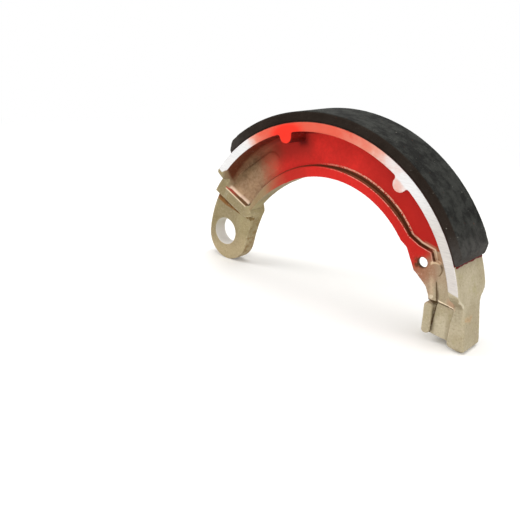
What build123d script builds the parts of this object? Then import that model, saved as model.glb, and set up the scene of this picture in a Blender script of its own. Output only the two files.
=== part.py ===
"""Leading drum-brake shoe: die-cast aluminium shoe with a bonded friction lining.

The shoe is drawn in the drum's own frame: the drum axis is Y, X points to the cam end,
Z points to the crown, and angles run from +X towards +Z. "Front" is the -Y side.
The finished solids are then turned so that the shoe stands level on its pivot eye and
its toe, and moved so that the centre of the pivot bore is the origin.
Every size is in millimetres, every angle in degrees.
"""
import os
from math import asin, atan2, cos, degrees, hypot, radians, sin

from build123d import *

# --- drum and lining ------------------------------------------------------------------
drum_radius = 75.0              # the friction face
shoe_width = 24.6               # rim and lining, along Y
lining_thickness = 4.2
lining_cam_angle = 17.8         # where the lining starts, at the cam end
lining_pivot_angle = 130.6      # where it ends, at the pivot end
lining_bevel_depth = 2.7        # bevel of the outer end corners, along the radius
lining_bevel_run = 3.9          # the same bevel, along the arc
lining_edge_round = 0.5
bond_thickness = 0.15           # adhesive film under the lining
bead_size = 0.9                 # adhesive squeezed out at both ends of the lining

# --- rim ------------------------------------------------------------------------------
rim_thickness = 4.1
rim_fillet = 2.6                # between the underside of the rim and the web
lug_angles = (49.6, 102.4)      # half-round ejector columns under the rim
lug_width = 6.3
lug_reach = 4.4                 # from the underside of the rim to the column's tip
lug_root_fillet = 1.2

# --- web ------------------------------------------------------------------------------
web_depth = 20.2                # from the underside of the rim to the web's inner edge
band_width = 4.8                # raised band along the inner edge
band_front = -2.9               # Y of the band's front face
band_back = 5.2                 # Y of its back face
panel_recess = 1.7              # the panel lies this far below the band, on both sides
pocket_foot_fillet = 1.6        # along the end wall of the front pocket
pocket_corner_round = 3.0       # inner corner of both pockets, at the pivot end
pocket_pivot_angle = 149.2      # radial end wall of the front pocket
back_pocket_angle = 147.6       # and of the back pocket
inner_edge_cam_angle = 33.0     # the round inner edge runs between these two angles
inner_edge_pivot_angle = 109.0
spring_hole_radius = 2.2
spring_hole_seat = (21.3, 17.8)     # inwards from the rim's outer face, and Z
hook_recess_radius = 4.8        # recess behind the spring hole, open to the inner edge
hook_wall = 2.4                 # what the recess leaves of the web
mark_pad_width = 9.2            # plain raised pad on the front of the panel
mark_pad_height = 0.5
mark_pad_axis_radius = 58.0     # the pad's straight axis lies this far from the drum axis
mark_pad_axis_angle = 124.0     # direction of the axis's foot
mark_pad_end = 3.0              # the round end's centre, past that foot

# --- pivot eye ------------------------------------------------------------------------
pivot_bore_radius = 6.65
pivot_bore_depth = 6.6          # bore centre, below the rim's outer face
pivot_angle = 169.9
eye_radius = 12.3
eye_offset = (1.6, -2.0)        # eye centre from the bore centre, X and Z
eye_front = 1.2                 # Y: the eye is half-lapped towards the back
eye_thickness = 7.0
neck_corner_rise = 3.4          # neck's inner corner, out from the web's inner edge
neck_inner_point = (19.0, 14.3)     # where the arm meets the neck, from the eye centre
neck_flare = 1.5                # the neck stands proud of the rim's outer face
neck_flare_angle = 148.0
shoulder_angle = 139.4          # the full-width rim ends here
front_shoulder_run = 8.8        # S-shaped step from the rim's side to the neck, front
back_shoulder_run = 5.0         # and back
land_width = 5.5                # raised land between the pocket and the arm
neck_relief_depth = 1.2         # sloping relief at the foot of the land
neck_relief_run = 3.6
neck_relief_start = 9.0         # out from the web's inner edge
land_heel = (5.0, 5.5)          # cut-back inner end of the land: start outwards of the
                                # web's inner edge, and run back towards that edge
land_heel_rise = 4.1            # the cut-back over that run, along the arc
eye_neck_angle = 345.0          # the neck's inner side leaves the eye here

# --- cam end, X measured inwards from the rim's outer face ----------------------------
cam_taper_top = 10.9            # Z where the rim starts to narrow
cam_taper_run = 8.2
toe_top_angle = 2.5             # the rim's round outer face ends here
toe_width = 14.4                # along Y
toe_outer_drop = -13.4          # Z of the outer face's lower edge
toe_flare = 1.0                 # the outer face leans out by this much over its height
toe_tip = (0.8, -14.7)
toe_tip_round = 0.8
toe_corner_round = 3.0          # lower corners, seen from the end
toe_heel = (5.8, -12.6)         # where the toe meets the clip seat, below
toe_inner_foot = (6.5, -11.6)   # lower end of the toe's inner edge
toe_inner_bend = (5.4, -2.2)    # bend in that edge
ledge_corner = (4.4, 2.9)       # upper corner between flank, seat and toe
clip_seat_width = 10.0          # along Y, between the two recessed clip seats
clip_seat_top = 4.4             # Z
cam_face_outer = (7.8, -11.3)   # outer end of the face that the cam pushes
cam_face_inner = (14.5, -10.0)  # and its inner end
finger_width = 13.2             # along Y
finger_centre = (16.0, -3.25)
finger_size = (3.5, 13.2)       # across and along the finger
finger_tilt = 3.0
finger_round = 1.5
tongue_width = 12.4             # along Y, at its foot
tongue_edge_top = 14.7          # outer edge of the tongue, where it starts to thicken
tongue_edge_foot = 12.3         # and where it ends
tongue_ramp_top = 13.0          # Z where the tongue starts to thicken
tongue_foot = 4.3               # Z where it ends
flank_width = 13.8              # along Y, at the ledge corner
flank_inner_width = 10.4        # along Y, at the ledge's inner end
hole_boss_radius = 3.1          # rounded shoulder beside the spring hole
hole_boss = (15.4, 16.1)
band_leg = (23.0, 24.9)         # bend in the band, between its arc and its corner
band_leg_angle = 33.0           # the arc of the band ends here
band_cam_corner = (17.5, 22.9)  # corner of the band above the spring hole
band_cam_round = 1.4
band_cam_waist = (16.3, 18.6)   # where the band meets the rounded shoulder
# inner edge between finger and web
cam_edge_points = ((16.2, 5.2), (18.4, 8.8), (25.0, 13.8))
cam_edge_kink = (1.3, 28.7)     # out from the web's inner edge, and angle
cam_edge_round = 2.0

# --- worked out from the above --------------------------------------------------------
half_width = shoe_width / 2
lining_inner_r = drum_radius - lining_thickness
seat_r = lining_inner_r - bond_thickness
rim_inner_r = seat_r - rim_thickness
web_inner_r = rim_inner_r - web_depth
band_outer_r = web_inner_r + band_width
panel_front = band_front + panel_recess
panel_back = band_back - panel_recess
eye_back = eye_front + eye_thickness
toe_half = toe_width / 2
margin = 1.0                    # cutters reach this far past what they cut
far = 40.0                      # long enough to pass through any one region
same_place = 0.01               # two points nearer than this are one corner
FRONT, BACK = -1, 1             # signs of Y


def polar(radius, angle):
    """Point of the drum's plane."""
    return (radius * cos(radians(angle)), radius * sin(radians(angle)))


def inward(depth, height):
    """Point at the cam end, measured inwards from the rim's outer face."""
    return (seat_r - depth, height)


def slab(outline, front, back):
    """Prism of an outline of the drum's plane, between Y = front and Y = back."""
    return extrude(Plane.XZ.offset(-back) * outline, amount=back - front, dir=(0, -1, 0))


def outline_of(points):
    """Closed face with straight sides."""
    return make_face(Polyline(*points, close=True))


def sector(inner_r, outer_r, start, end):
    """Face between two radii and two angles."""
    inner = CenterArc((0, 0), inner_r, start, end - start)
    outer = CenterArc((0, 0), outer_r, start, end - start)
    return make_face([inner, outer, Line(inner @ 0, outer @ 0), Line(inner @ 1, outer @ 1)])


def swept_section(section, start, end):
    """Solid of a (radius, Y) section turned about the drum axis between two angles."""
    return revolve(Rot(0, -end, 0) * section, axis=Axis.Y, revolution_arc=end - start)


def s_curve(start, end):
    """Two equal arcs that leave and arrive along the first axis."""
    middle = ((start[0] + end[0]) / 2, (start[1] + end[1]) / 2)
    leave = TangentArc(start, middle, tangent=(1, 0))
    arrive = TangentArc(middle, end, tangent=leave % 1)
    return leave, arrive


# --- shoe casting ---------------------------------------------------------------------
def web_outline():
    """Whole web, from its inner edge to the middle of the rim, down to the cam end."""
    outer_r = rim_inner_r + rim_thickness / 2
    inner = CenterArc((0, 0), web_inner_r, inner_edge_cam_angle,
                      inner_edge_pivot_angle - inner_edge_cam_angle)
    neck_corner = polar(web_inner_r + neck_corner_rise, pocket_pivot_angle)
    neck = TangentArc(inner @ 1, neck_corner, tangent=inner % 1)
    outer = CenterArc((0, 0), outer_r, 0, pocket_pivot_angle)
    cam_edge = Polyline(
        inner @ 0,
        polar(web_inner_r + cam_edge_kink[0], cam_edge_kink[1]),
        *(inward(*point) for point in reversed(cam_edge_points)),
        inward(cam_edge_points[0][0], 0),
        outer @ 0,
    )
    web = make_face([inner, neck, Line(neck @ 1, outer @ 1), outer, *cam_edge.edges()])
    corners = web.vertices().filter_by(
        lambda v: any(hypot(v.X - seat_r + depth, v.Y - height) < same_place
                      for depth, height in cam_edge_points)
    )
    return fillet(corners, cam_edge_round)


def band_cam_outline():
    """Cam end of the band: the flat round the spring hole and its rounded shoulder."""
    flat = outline_of([
        polar(band_outer_r, band_leg_angle),
        inward(*band_leg),
        inward(*band_cam_corner),
        inward(*band_cam_waist),
        inward(*hole_boss),
        inward(tongue_edge_top, tongue_ramp_top),
        inward(tongue_edge_foot, tongue_foot),
        inward(tongue_edge_foot, 0),
        inward(far / 2, 0),
        polar(web_inner_r - margin, band_leg_angle),
    ])
    corner = flat.vertices().sort_by_distance((*inward(*band_cam_corner), 0))[:1]
    return fillet(corner, band_cam_round) + Pos(*inward(*hole_boss)) * Circle(hole_boss_radius)


def pocket(front, back, end_angle):
    """Cutter of one panel pocket: rim to band, from the pivot end to below the flank."""
    block = slab(sector(band_outer_r, rim_inner_r, 0, end_angle), front, back)
    corner = level_point(polar(band_outer_r, end_angle), (front + back) / 2)
    edge = block.edges().filter_by(Axis.Y).sort_by_distance(corner)[:1]
    return fillet(edge, pocket_corner_round) - slab(band_cam_outline(), front, back)


def pocket_foot():
    """Concave fillet at the foot of the front pocket's end wall."""
    size = pocket_foot_fillet
    corner = Pos(-size / 2, size / 2) * Rectangle(size, size) - Pos(-size, size) * Circle(size)
    plane = Plane(
        level_point(polar(band_outer_r, pocket_pivot_angle), panel_front),
        x_dir=level_point(polar(1, pocket_pivot_angle + 90), 0),
        z_dir=level_point(polar(1, pocket_pivot_angle), 0),
    )
    return extrude(plane * corner, amount=rim_inner_r + rim_thickness / 2 - band_outer_r)


def rim():
    """T of rim and panel, turned about the drum axis, with its two root fillets."""
    panel_reach = rim_thickness + rim_fillet + margin
    section = (
        Pos((rim_inner_r + seat_r) / 2, 0) * Rectangle(rim_thickness, shoe_width)
        + Pos(seat_r - panel_reach / 2, (panel_front + panel_back) / 2)
        * Rectangle(panel_reach, panel_back - panel_front)
    )
    roots = section.vertices().filter_by(
        lambda v: abs(v.X - rim_inner_r) < same_place and abs(v.Y) < half_width - margin
    )
    return swept_section(fillet(roots, rim_fillet), toe_top_angle, pocket_pivot_angle)


def lug_column(angle):
    """Half-round column under the rim, seen along the drum axis, with root fillets."""
    half = lug_width / 2
    foot = half + lug_root_fillet
    centre_r = rim_inner_r - lug_reach + half
    rim_middle = rim_inner_r + rim_thickness / 2
    root_r = (rim_inner_r**2 - foot**2)**0.5
    flank_r = root_r - lug_root_fillet
    lower = TangentArc((root_r, -foot), (flank_r, -half), tangent=(0, 1))
    upper = TangentArc((root_r, foot), (flank_r, half), tangent=(0, -1))
    nose = ThreePointArc((centre_r, -half), (centre_r - half, 0), (centre_r, half))
    in_rim = Polyline(lower @ 0, (rim_middle, -foot), (rim_middle, foot), upper @ 0)
    column = make_face([
        lower, upper, nose, Line(lower @ 1, nose @ 0), Line(upper @ 1, nose @ 1),
        *in_rim.edges(),
    ])
    return Rot(0, 0, angle) * column


def arm_outline():
    """Neck, arm and eye, seen along the drum axis."""
    bore = polar(seat_r - pivot_bore_depth, pivot_angle)
    eye = (bore[0] + eye_offset[0], bore[1] + eye_offset[1])
    outer_angle = degrees(atan2(eye[1], eye[0]))
    head = CenterArc(eye, eye_radius, outer_angle, eye_neck_angle - outer_angle)
    flare_top = polar(seat_r + neck_flare, neck_flare_angle)
    outer = TangentArc(head @ 0, flare_top, tangent=-(head % 0))
    shoulder = polar(seat_r, shoulder_angle)
    along = (sin(radians(shoulder_angle)), -cos(radians(shoulder_angle)))
    flare = Spline([outer @ 1, shoulder], tangents=[outer % 1, along])
    inner = TangentArc(
        head @ 1, (eye[0] + neck_inner_point[0], eye[1] + neck_inner_point[1]), tangent=head % 1)
    back_wall = Polyline(
        inner @ 1, polar(web_inner_r + neck_corner_rise, pocket_pivot_angle),
        polar(band_outer_r, back_pocket_angle), polar(rim_inner_r, back_pocket_angle))
    under_rim = CenterArc(
        (0, 0), rim_inner_r, shoulder_angle, back_pocket_angle - shoulder_angle)
    return make_face([
        head, outer, flare, inner, *back_wall.edges(), under_rim,
        Line(under_rim @ 0, shoulder),
    ])


def side_taper(origin, along, side, level, run):
    """Cutter that narrows the full-width rim to a level of Y along an S-shaped step."""
    leave, arrive = s_curve((0, half_width), (run, level))
    top = half_width + margin
    outline = make_face([
        leave, arrive, Line((run, level), (far, level)), Line((far, level), (far, top)),
        Line((far, top), (0, top)), Line((0, top), (0, half_width)),
    ])
    plane = Plane(origin, x_dir=along, z_dir=Vector(*along).cross(Vector(0, side, 0)))
    return extrude(plane * outline, amount=far / 2, both=True)


def under_plane(solid, points, keep):
    """What is left of a solid on the inner side of a plane through three points."""
    a, b, c = (Vector(*p) for p in points)
    normal = (b - a).cross(c - a).normalized()
    if normal.Y * keep < 0:
        normal = normal * -1
    return split(solid, bisect_by=Plane(a, z_dir=normal), keep=Keep.BOTTOM)


def level_point(point, y):
    """Point of the drum's plane, lifted to a level of Y."""
    return (point[0], y, point[1])


def land():
    """Raised land across the neck, between the front pocket and the arm."""
    heel_r = web_inner_r + land_heel[0]
    outline = Rot(0, 0, pocket_pivot_angle) * outline_of([
        (heel_r - land_heel[1], 0), (seat_r + far / 4, 0), (seat_r + far / 4, land_width),
        (heel_r, land_width), (heel_r - land_heel[1], land_width - land_heel_rise),
    ])
    return slab(outline & arm_outline(), band_front, band_back)


def neck_relief():
    """Cutter of the shallow slope at the foot of the land, deepest at the outer edge."""
    inner_r = web_inner_r + neck_relief_start
    outer_r = seat_r + far / 4
    turned = Rot(0, 0, pocket_pivot_angle)
    corners = [(turned * Pos(*p)).position for p in (
        (inner_r, land_width), (outer_r, land_width), (outer_r, land_width + neck_relief_run))]
    a, b, c = ((p.X, p.Y) for p in corners)
    wedge = slab(outline_of([a, b, c]), eye_front - margin, eye_front + neck_relief_depth)
    floor = (
        level_point(a, eye_front),
        level_point(b, eye_front + neck_relief_depth),
        level_point(c, eye_front),
    )
    return under_plane(wedge, floor, BACK)


def shoulders():
    """Full-width end of the rim, where it flares out into the neck."""
    ring = sector(rim_inner_r, seat_r + far / 4, shoulder_angle, pocket_pivot_angle)
    strip = Rot(0, 0, pocket_pivot_angle) * outline_of([
        (rim_inner_r, 0), (seat_r + far / 4, 0), (seat_r + far / 4, land_width),
        (rim_inner_r, land_width)])
    flare = slab(arm_outline() & ring, -half_width, half_width)
    return flare + slab(arm_outline() & strip, band_front, eye_back)


def flank(side, band_level):
    """Ramp from the panel up to the ledge above one clip seat."""
    rim_middle = rim_inner_r + rim_thickness / 2
    outline = outline_of([
        inward(tongue_edge_top, clip_seat_top), inward(tongue_edge_foot, clip_seat_top),
        inward(*ledge_corner), (rim_middle, ledge_corner[1]),
        (rim_middle, far), inward(tongue_edge_top, far),
    ]) & Circle(rim_middle)
    levels = sorted((0, side * half_width))
    block = slab(outline, *levels)
    return under_plane(block, (
        level_point(inward(tongue_edge_foot, clip_seat_top), side * flank_inner_width / 2),
        level_point(inward(*ledge_corner), side * flank_width / 2),
        level_point(inward(tongue_edge_top, tongue_ramp_top), band_level),
    ), side)


def tongue():
    """Cam end of the band, thickening on both sides down to the finger."""
    innermost = cam_edge_points[-1][0]
    strip = outline_of([
        inward(tongue_edge_foot, 0), inward(tongue_edge_foot, tongue_foot),
        inward(tongue_edge_top, tongue_ramp_top),
        inward(innermost, tongue_ramp_top), inward(innermost, 0),
    ]) & web_outline()
    half = tongue_width / 2
    side_view = Plane.YZ * outline_of([
        (band_front, tongue_ramp_top), (-half, tongue_foot), (half, tongue_foot),
        (band_back, tongue_ramp_top),
    ])
    return slab(strip, -half, half) & extrude(side_view, amount=2 * seat_r)


def cam_block():
    """Clip seats, finger and toe: the end that the brake cam pushes."""
    seat_half = clip_seat_width / 2
    seats = slab(outline_of([
        inward(finger_centre[0], tongue_foot + margin), inward(rim_thickness, tongue_foot + margin),
        inward(rim_thickness, ledge_corner[1]), inward(*toe_heel),
        inward(*cam_face_outer), inward(*cam_face_inner),
        inward(finger_centre[0], cam_face_inner[1] + margin),
    ]), -seat_half, seat_half)
    finger = slab(
        Pos(*inward(*finger_centre)) * Rot(0, 0, -finger_tilt)
        * RectangleRounded(*finger_size, finger_round),
        -finger_width / 2, finger_width / 2)
    outline = outline_of([
        inward(*ledge_corner), inward(rim_thickness / 2, ledge_corner[1] + margin),
        polar(seat_r, toe_top_angle), inward(-toe_flare, toe_outer_drop),
        inward(*toe_tip), inward(*toe_heel), inward(*toe_inner_foot), inward(*toe_inner_bend),
    ])
    tips = outline.vertices().sort_by(Axis.Y)[:2]
    toe = slab(fillet(tips, toe_tip_round), -toe_half, toe_half)
    end_view = Plane.YZ * (
        Pos(0, toe_tip[1] + far / 2) * Rectangle(toe_width, far))
    lower = end_view.vertices().group_by(Axis.Z)[0]
    return seats + finger + (toe & extrude(fillet(lower, toe_corner_round), amount=2 * seat_r))


def mark_pad():
    """Low plain pad on the front of the panel, with a round end."""
    slot = (
        Rot(0, 0, mark_pad_axis_angle - 90)
        * Pos(mark_pad_end - far / 2, mark_pad_axis_radius)
        * SlotCenterToCenter(far, mark_pad_width)
    )
    inside = sector(band_outer_r, rim_inner_r, inner_edge_cam_angle, pocket_pivot_angle)
    return slab(slot & inside, panel_front - mark_pad_height, panel_back)


def hook_recess():
    """Cutter of the recess behind the spring hole, for the hook of the return spring."""
    x, z = inward(*spring_hole_seat)
    outline = Pos(x - far / 2, z) * SlotCenterToCenter(far, 2 * hook_recess_radius)
    return slab(outline, band_front + hook_wall, band_back + margin)


def shoe_casting():
    """The one-piece casting, in the drum's frame."""
    web = slab(web_outline(), band_front, band_back)
    web -= pocket(band_front - margin, panel_front, pocket_pivot_angle)
    web -= pocket(panel_back, band_back + margin, back_pocket_angle)
    body = web + rim() + pocket_foot()
    for angle in lug_angles:
        body += slab(lug_column(angle), -half_width, half_width)
    body += mark_pad()
    body += shoulders() + land() + slab(arm_outline(), eye_front, eye_back)
    body += flank(FRONT, band_front) + flank(BACK, band_back) + tongue() + cam_block()

    neck_side = level_point(polar(seat_r, shoulder_angle), 0)
    neck_along = level_point(polar(1, shoulder_angle + 90), 0)
    body -= side_taper(neck_side, neck_along, FRONT, -band_front, front_shoulder_run)
    body -= side_taper(neck_side, neck_along, BACK, eye_back, back_shoulder_run)
    for side in (FRONT, BACK):
        body -= side_taper(
            (seat_r, 0, cam_taper_top), (0, 0, -1), side, toe_half, cam_taper_run)
    body -= neck_relief()
    body -= hook_recess()
    bore = Pos(*polar(seat_r - pivot_bore_depth, pivot_angle)) * Circle(pivot_bore_radius)
    hole = Pos(*inward(*spring_hole_seat)) * Circle(spring_hole_radius)
    return body - slab(bore + hole, -half_width, half_width)


# --- lining and its bond --------------------------------------------------------------
def friction_lining():
    """Moulded lining: curved block with rounded edges and bevelled outer end corners."""
    section = Pos(lining_inner_r + lining_thickness / 2, 0) * Rectangle(
        lining_thickness, shoe_width)
    outer = section.vertices().group_by(Axis.X)[-1]
    lining = swept_section(
        fillet(outer, lining_edge_round), lining_cam_angle, lining_pivot_angle)
    run_angle = degrees(lining_bevel_run / drum_radius)
    for end, turn in ((lining_cam_angle, run_angle), (lining_pivot_angle, -run_angle)):
        bevel = outline_of([
            polar(drum_radius - lining_bevel_depth, end),
            polar(drum_radius, end + turn),
            polar(drum_radius + margin, end + turn),
            polar(drum_radius + margin, end - turn),
            polar(drum_radius - lining_bevel_depth, end - turn),
        ])
        lining -= slab(bevel, -half_width - margin, half_width + margin)
    return lining


def bond_adhesive():
    """Adhesive film under the lining, with the bead squeezed out at each end."""
    film = sector(seat_r, lining_inner_r, lining_cam_angle, lining_pivot_angle)
    bead_angle = degrees(bead_size / seat_r)
    bond = slab(film, -half_width, half_width)
    for end, turn in ((lining_cam_angle, -bead_angle), (lining_pivot_angle, bead_angle)):
        bead = outline_of([
            polar(seat_r, end), polar(seat_r + bead_size, end), polar(seat_r, end + turn)])
        bond += slab(bead - Circle(seat_r), -half_width + bead_size, half_width - bead_size)
    return bond


# --- standing on the eye and the toe, origin at the pivot bore --------------------------
def stand_turn():
    """Turn that brings the eye's lowest point and the toe's tip to one level."""
    bore = polar(seat_r - pivot_bore_depth, pivot_angle)
    tip = inward(*toe_tip)
    run = tip[0] - bore[0] - eye_offset[0]
    rise = tip[1] - bore[1] - eye_offset[1]
    return -degrees(asin(eye_radius / hypot(run, rise)) + atan2(rise, run))


def stand(solid):
    """Turns a solid of the drum's frame, and moves the pivot bore to the origin."""
    bore = level_point(polar(seat_r - pivot_bore_depth, pivot_angle), eye_front + eye_thickness / 2)
    return Rot(0, -stand_turn(), 0) * (Pos(*(-Vector(*bore))) * solid)


os.makedirs("parts", exist_ok=True)
export_step(stand(shoe_casting()), "parts/shoe_casting.step")
export_step(stand(friction_lining()), "parts/friction_lining.step")
export_step(stand(bond_adhesive()), "parts/bond_adhesive.step")
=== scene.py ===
"""Brake shoe on a pale studio floor: blasted casting, machined rim sides, bonded lining."""
from math import cos, hypot, pi, radians, sin

import bmesh
import bpy
import numpy as np
from mathutils import Matrix, Vector
from mathutils.kdtree import KDTree


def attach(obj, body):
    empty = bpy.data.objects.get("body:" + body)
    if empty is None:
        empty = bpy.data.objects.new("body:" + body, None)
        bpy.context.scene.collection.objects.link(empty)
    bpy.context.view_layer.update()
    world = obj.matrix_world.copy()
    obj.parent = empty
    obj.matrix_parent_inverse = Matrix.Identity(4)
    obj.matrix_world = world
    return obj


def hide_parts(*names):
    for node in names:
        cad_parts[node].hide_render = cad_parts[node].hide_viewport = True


# --- sizes, in millimetres and degrees --------------------------------------------------
MM = 0.001
DRUM = (63.801, -5.647)         # X and Z of the drum's axis
DRUM_TURN = 5.042               # the shoe's own zero angle, from +X
SIDES = (-17.0, 7.6)            # Y of the machined sides of the rim
HALF_WIDTH = (SIDES[1] - SIDES[0]) / 2
MIDDLE = 4.7                    # from the middle of the shoe's width to the eye's
SEAT_R = 70.65                  # outer face of the rim
RIM_R = 66.55                   # underside of the rim
BAND_R = 51.15                  # outer edge of the raised band
EDGE_R = 46.35                  # inner edge of the web
BORE_R = 6.65
LINING_R = 75.0
LINING_ENDS = (17.8, 130.6)
LAND_ANGLE = 149.2              # end wall of the front pocket, in the drum's frame
BAND_LEG_ANGLE = 33.0           # the arc of the band's outer edge ends here
BAND_LEGS = (                   # corners of that edge, from there to the boss
    (42.9, 27.86), (47.65, 24.9), (53.15, 22.9), (54.35, 18.6))
BOSS = (55.25, 16.1)            # rounded shoulder beside the spring hole
BOSS_R = 3.1
HOLE = (49.35, 17.8)            # spring hole
SPRAY_END = (43.0, 25.0)        # the spray on the band ends in a round edge about here
FILM = 0.15                     # adhesive under the lining
BEAD_INSET = 1.4                # the squeezed-out bead stops this far from the sides
BEAD_LIFT = 0.1                 # its middle lies this far above the rim's outer face
BEAD_THICKNESS = 0.62
BEAD_LUMP = 3.0

# --- meshes, in millimetres and degrees -------------------------------------------------
CASTING_SQUARE = 0.30
LINING_SQUARE = 0.40
MOST_TRIANGLES = 190000         # of one piece
SAME_PLACE = 0.002              # corners nearer than this are merged
ROUND_REACH = 0.14              # a facet of a round face lies no further from its radius
SQUARELY = 0.9                  # how squarely such a facet faces along the radius
CASTING_ROUNDS = 4              # how many times the corners are eased
LINING_ROUNDS = 20
HOLLOW_ROUNDS = 25              # and those of the copy that shows what is hollow
EASE = 0.5                      # share of the way that a corner moves each time
CRISP_EASE = 0.2                # the same, near the machined sides
CRISP_REACH = 0.4               # how near
LINING_EASE = 0.12              # the same, apart from the lining's worn outer ends
WORN_END = 6.0                  # their length, in degrees
WORN_FOOT = 1.2                 # and their lowest place, above the rim

# --- studio, in metres unless said ------------------------------------------------------
FLOOR_Z = -14.152               # millimetres
FLOOR_REACH = 4.0
FLOOR_PAPER = (0.84, 0.83, 0.81, 1.0)
FLOOR_GLOW = (1.0, 0.99, 0.97, 1.0)
FLOOR_GLOW_STRENGTH = 0.12
FLOOR_FADE = (180.0, 480.0)     # the floor turns white between these distances, millimetres
WHITE = (1.0, 1.0, 1.0, 1.0)
AMBIENT = 0.34
LAMPS = (                       # name, place, length of a side, power in watts
    ("window_left", (-0.80, -0.60, 0.75), 0.6, 8.5),
    ("softbox_above", (0.15, 0.05, 1.05), 0.7, 8.0),
    ("window_right", (1.00, -0.75, 0.50), 1.4, 9.0),
)
LAMPS_AIM = (0.06, 0.0, 0.02)
CAMERA_PLACE = (228.76, -251.22, 108.41)    # millimetres
CAMERA_RIGHT = (0.753354, 0.654159, 0.067332)
CAMERA_UP = (-0.272965, 0.217911, 0.937019)
CAMERA_LENS = 48.22             # millimetres
CAMERA_SENSOR = 36.0
NEAREST = 0.01                  # the camera sees nothing nearer than this

# --- colours; a noise mixes the two of a pair, unless its line says what they are -------
SAND = (0.41, 0.345, 0.225), (0.49, 0.425, 0.295)
CLIP_SEAT = (0.68, 0.61, 0.45)
FLANK_SHADE = (0.24, 0.20, 0.125)
EYE_SAND = (0.315, 0.255, 0.13), (0.37, 0.305, 0.17)
EYE_FOOT = (0.47, 0.37, 0.22)
EDGE_SHADE = (0.11, 0.075, 0.045)
OLIVE_CLOUD = (0.38, 0.33, 0.16)
PIT = (0.13, 0.095, 0.045)
BRIGHT_GRAIN = (0.90, 0.83, 0.66)

CORNER_DIRT_AND_SHADE = (0.050, 0.030, 0.012)
WORN_EDGE_AND_HIGHLIGHT = (0.80, 0.70, 0.50)
LAND_STAIN = (0.23, 0.088, 0.018)
LAND_STAIN_CORE = (0.10, 0.045, 0.012)
HEEL_STAIN_AND_SHADE = (0.18, 0.105, 0.030)
NECK_SIDE_BROWN = (0.24, 0.14, 0.045)
TOE_SMEAR = (0.52, 0.29, 0.12)

TONGUE_DUST = (0.36, 0.19, 0.11)
LEDGE_DUST = (0.50, 0.21, 0.12)
TONGUE_CREST_HIGHLIGHT = (0.66, 0.52, 0.35)
TOE_STEP_SHADE = (0.20, 0.155, 0.080)
RIM_END_HIGHLIGHT = (0.86, 0.78, 0.60)
LEDGE_HIGHLIGHT = (1.0, 0.84, 0.62)
LEDGE_SHADE = (0.045, 0.022, 0.008)
TONGUE_LINE_SHADE = (0.085, 0.050, 0.020)
FINGER_SHADOW = (0.055, 0.030, 0.010)
TONGUE_SHINE = (0.95, 0.84, 0.62)
CROSSING_SHADE = (0.060, 0.038, 0.014)
FINGER_TOP_SHADE = (0.070, 0.040, 0.015)
BOSS_DUST = (0.46, 0.20, 0.10)
BOSS_HIGHLIGHT = (0.88, 0.68, 0.44)
BOSS_SHADE = (0.13, 0.075, 0.030)
HOLE_DIRT_AND_SHADE = (0.10, 0.032, 0.010)

WALL_FOOT_LIGHT = (0.95, 0.70, 0.54)
WALL_SHADE = (0.15, 0.065, 0.028), (0.42, 0.065, 0.045)     # inner and outer end
WALL_EDGE_HIGHLIGHT = (1.0, 0.80, 0.56)
BLIND_CORNER = (0.26, 0.175, 0.100)
BLIND_CORNER_END = (0.30, 0.255, 0.150)

BROWN_WEB = (0.19, 0.105, 0.052), (0.13, 0.068, 0.034)
BROWN_WEB_SPECK = (0.36, 0.215, 0.120)
TAN_WEB = (0.36, 0.210, 0.120), (0.27, 0.150, 0.085)
TAN_WEB_SPECK = (0.58, 0.39, 0.24)
BAND_DUST = (0.30, 0.19, 0.10)
HOLE_TINT = (0.37, 0.135, 0.078)
THIN_SPRAY = (0.34, 0.115, 0.058)
SPRAY = (0.79, 0.031, 0.023), (0.67, 0.026, 0.019)
CAM_SPRAY = (0.58, 0.024, 0.018), (0.48, 0.021, 0.015)
BAND_SPRAY = (0.68, 0.024, 0.018)
DEEP_SPRAY = (0.50, 0.017, 0.012)
DIM_BAND_SPRAY = (0.40, 0.026, 0.016), (0.32, 0.075, 0.040)     # crown and pivot end
SPRAY_SPECK = (0.42, 0.012, 0.008)
PANEL_STRIP = (0.48, 0.20, 0.12)
PANEL_TIP = (0.30, 0.080, 0.025)
LUG_SHADE = (0.20, 0.016, 0.010)
PANEL_END_SHADE = (0.17, 0.018, 0.008)
RIM_SHADE = (0.15, 0.004, 0.003), (0.12, 0.007, 0.002)      # up to the crown and past it
RIM_SHADE_END = (0.105, 0.020, 0.006)
LUG_SHADOW = (0.095, 0.0005, 0.0003)

STEP_DIRT_AND_SHADE = (0.16, 0.045, 0.02)
STEP_DARK = (0.085, 0.028, 0.009)
STEP_CORNER_HIGHLIGHT = (0.80, 0.58, 0.38)
STEP_TAN = (0.26, 0.11, 0.050)
STEP_FOOT_HIGHLIGHT = (0.86, 0.58, 0.40), (0.92, 0.70, 0.48)          # dotted and whole part
STEP_LIP_HIGHLIGHT = (1.0, 0.56, 0.44)
STEP_GROOVE = (0.13, 0.075, 0.040)

MACHINED = (0.71, 0.70, 0.70), (0.80, 0.80, 0.80)
DULL_MACHINED = (0.545, 0.51, 0.485), (0.635, 0.60, 0.565)
PINK_DUST = (0.72, 0.32, 0.225)
RED_DUST = (0.70, 0.082, 0.045)
LUG_RED = (0.84, 0.034, 0.018)
LIT_AND_SHADED_BORE = (0.71, 0.67, 0.62), (0.53, 0.50, 0.42)               # lower half with painted light, upper half with painted shade

LINING = (0.014, 0.009, 0.006), (0.024, 0.017, 0.013)
LINING_FACE = (0.009, 0.009, 0.008), (0.034, 0.035, 0.031)
LINING_WORN = (0.085, 0.080, 0.074)
LINING_PIT = (0.008, 0.007, 0.006)
LINING_GRAIN = (0.12, 0.12, 0.105)
LINING_FLECK = (0.34, 0.33, 0.28)
LINING_RUST = (0.13, 0.040, 0.018)
ADHESIVE = (0.085, 0.004, 0.005), (0.17, 0.012, 0.011)
ADHESIVE_FILM = (0.045, 0.020, 0.014)

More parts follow.
